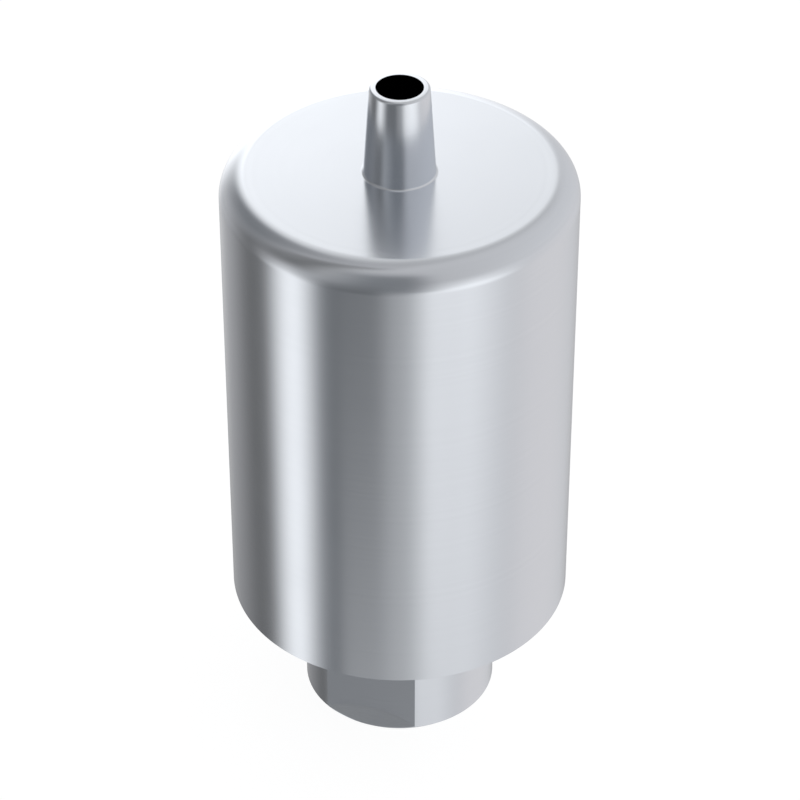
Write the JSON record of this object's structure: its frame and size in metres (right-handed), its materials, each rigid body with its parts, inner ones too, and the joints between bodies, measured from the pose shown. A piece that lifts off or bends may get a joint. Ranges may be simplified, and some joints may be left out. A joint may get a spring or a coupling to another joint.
{
  "type": "pre-milled dental abutment blank",
  "caption": "Turned titanium blank for a dental abutment: round stock with a hollow implant cone on top, a holder stub with a clamping flat below, and a screw path through it.",
  "frame": {"origin": "middle of the holder stub's end face, on the turning axis, where the part stands", "axes": "+Z along the turning axis towards the implant cone; -Y out of the stub's clamping flat"},
  "size_m": [0.014, 0.014, 0.0292],
  "materials": {
    "titanium": "fine turned satin, the shoulder face polished"
  },
  "bodies": {
    "root": {"abutment_blank": "titanium"}
  },
  "joints": []
}
